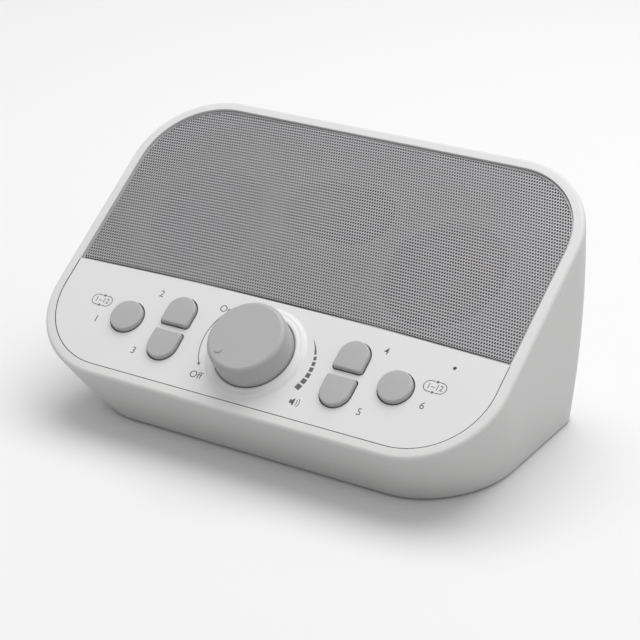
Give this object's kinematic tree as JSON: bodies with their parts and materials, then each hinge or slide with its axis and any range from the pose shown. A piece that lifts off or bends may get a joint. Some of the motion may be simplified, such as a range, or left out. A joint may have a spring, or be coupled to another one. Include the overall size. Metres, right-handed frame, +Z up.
{
  "type": "white noise sound machine",
  "caption": "Wedge-shaped tabletop white noise sound machine with a tilted speaker grille, a volume knob and push keys.",
  "frame": {"origin": "on the table under the middle of the machine", "axes": "+X to the user's right, +Y to the back, +Z up; the tilted face looks to -Y and up"},
  "size_m": [0.1672, 0.0966, 0.0867],
  "materials": {
    "housing_plastic": "fine moulded white",
    "panel_plastic": "fine moulded white, printed",
    "control_plastic": "satin mid grey",
    "grille_metal": "grey painted perforated sheet",
    "inner_plastic": "dark moulded",
    "steel": "plain zinc plated",
    "magnet": "ferrite",
    "cone_paper": "black pressed paper",
    "rubber": "soft matt",
    "circuit_board": "green glass fibre board",
    "clear_plastic": "smoked light pipe",
    "black_plastic": "black moulded"
  },
  "bodies": {
    "root": {"baffle": "inner_plastic", "board_parts": "black_plastic", "board_screws": "steel", "bottom_cover": "housing_plastic", "control_panel": "panel_plastic", "cover_screws": "steel", "grille": "grille_metal", "housing": "housing_plastic", "key_board": "circuit_board", "key_switches": "black_plastic", "left_dust_cap": "cone_paper", "left_speaker_basket": "steel", "left_speaker_cone": "cone_paper", "left_speaker_gasket": "rubber", "left_speaker_magnet": "magnet", "left_voice_coil": "steel", "light_pipe": "clear_plastic", "main_board": "circuit_board", "main_board_screws": "steel", "power_inlet": "black_plastic", "radiator_frame": "inner_plastic", "radiator_plate": "rubber", "right_dust_cap": "cone_paper", "right_speaker_basket": "steel", "right_speaker_cone": "cone_paper", "right_speaker_gasket": "rubber", "right_speaker_magnet": "magnet", "right_voice_coil": "steel", "rotary_control": "steel", "rubber_feet": "rubber", "status_light": "black_plastic"},
    "knob": {"knob": "control_plastic", "knob_shaft": "steel"},
    "left_lower_key": {"left_lower_key": "control_plastic"},
    "left_round_key": {"left_round_key": "control_plastic"},
    "left_upper_key": {"left_upper_key": "control_plastic"},
    "right_lower_key": {"right_lower_key": "control_plastic"},
    "right_round_key": {"right_round_key": "control_plastic"},
    "right_upper_key": {"right_upper_key": "control_plastic"}
  },
  "joints": [
    {"name": "knob_turn", "type": "hinge", "parent": "root", "child": "knob", "pos_m": [-0.00095, -0.03027, 0.03542], "axis": [0, -0.5707, 0.8211], "range_deg": [-280, 0]},
    {"name": "left_lower_key_press", "type": "slide", "parent": "root", "child": "left_lower_key", "axis": [0, 0.5707, -0.8211], "range_m": [0, 0.0005], "stiffness_N_per_m": 600},
    {"name": "left_round_key_press", "type": "slide", "parent": "root", "child": "left_round_key", "axis": [0, 0.5707, -0.8211], "range_m": [0, 0.0005], "stiffness_N_per_m": 600},
    {"name": "left_upper_key_press", "type": "slide", "parent": "root", "child": "left_upper_key", "axis": [0, 0.5707, -0.8211], "range_m": [0, 0.0005], "stiffness_N_per_m": 600},
    {"name": "right_lower_key_press", "type": "slide", "parent": "root", "child": "right_lower_key", "axis": [0, 0.5707, -0.8211], "range_m": [0, 0.0005], "stiffness_N_per_m": 600},
    {"name": "right_round_key_press", "type": "slide", "parent": "root", "child": "right_round_key", "axis": [0, 0.5707, -0.8211], "range_m": [0, 0.0005], "stiffness_N_per_m": 600},
    {"name": "right_upper_key_press", "type": "slide", "parent": "root", "child": "right_upper_key", "axis": [0, 0.5707, -0.8211], "range_m": [0, 0.0005], "stiffness_N_per_m": 600}
  ]
}
